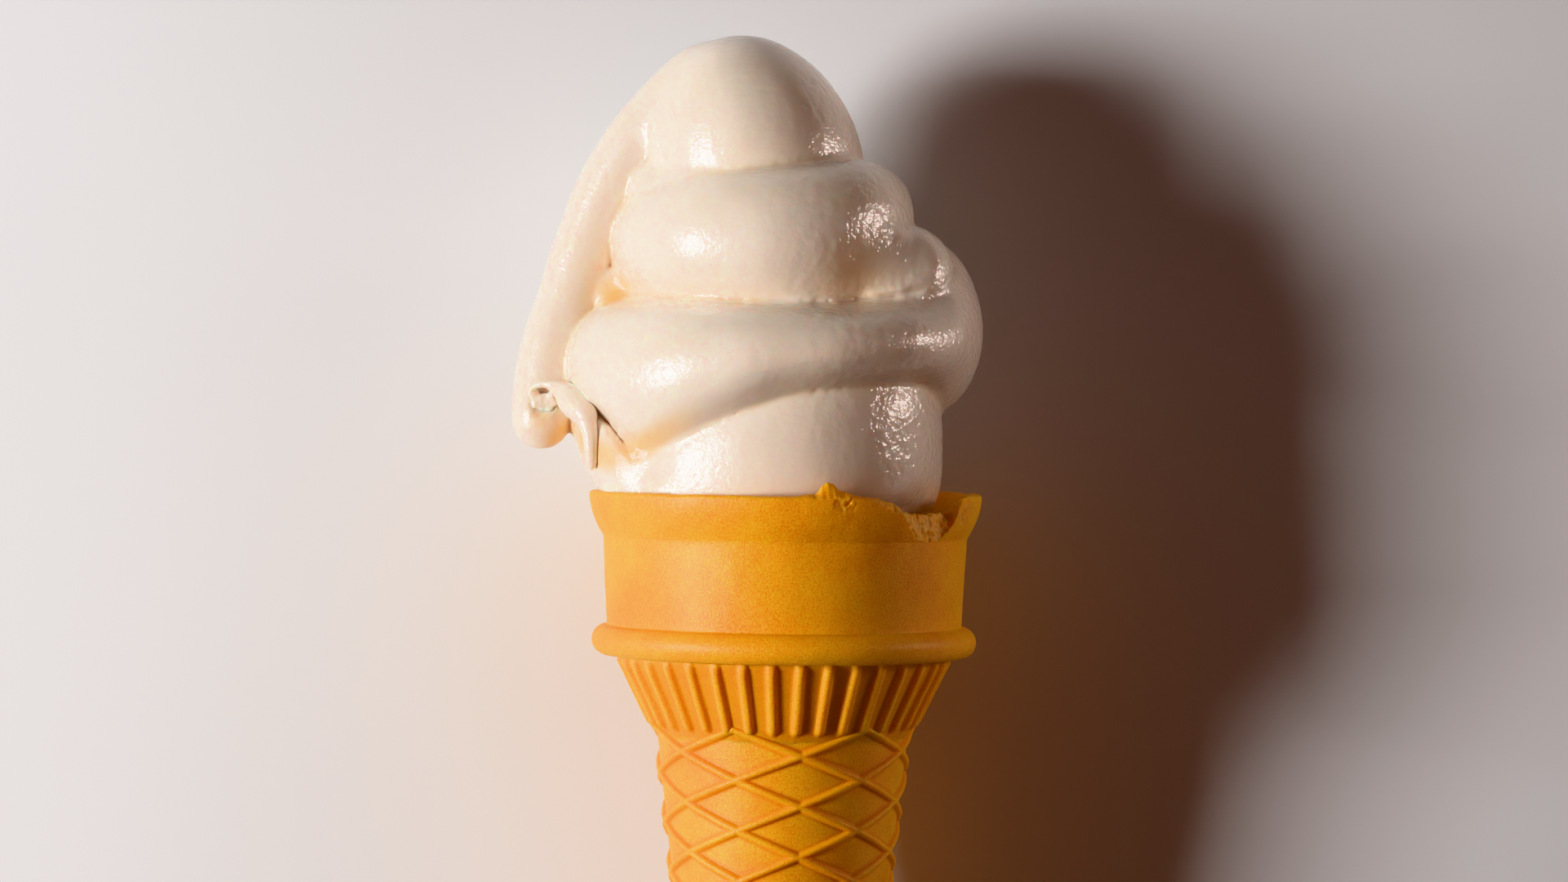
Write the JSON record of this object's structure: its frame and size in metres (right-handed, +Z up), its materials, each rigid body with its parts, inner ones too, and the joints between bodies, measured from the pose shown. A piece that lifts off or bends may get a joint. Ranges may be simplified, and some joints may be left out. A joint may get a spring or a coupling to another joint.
{
  "type": "soft serve cone",
  "caption": "Soft serve ice cream piped in a rising coil with its last pull flopped over and curled, in a moulded wafer cone with a broken lip, lying on its side.",
  "frame": {"origin": "middle of the part's box on the surface that it lies on", "axes": "+Z up, out of the shown side; +Y along the cone, from its tip towards the top of the ice cream; +X to the right of the shown side, so the fallen end of the ice cream is towards -X"},
  "size_m": [0.0624, 0.1654, 0.0526],
  "materials": {
    "wafer": "matte",
    "ice_cream": "satin"
  },
  "bodies": {
    "root": {"wafer_cone": "wafer", "soft_serve": "ice_cream"}
  },
  "joints": []
}
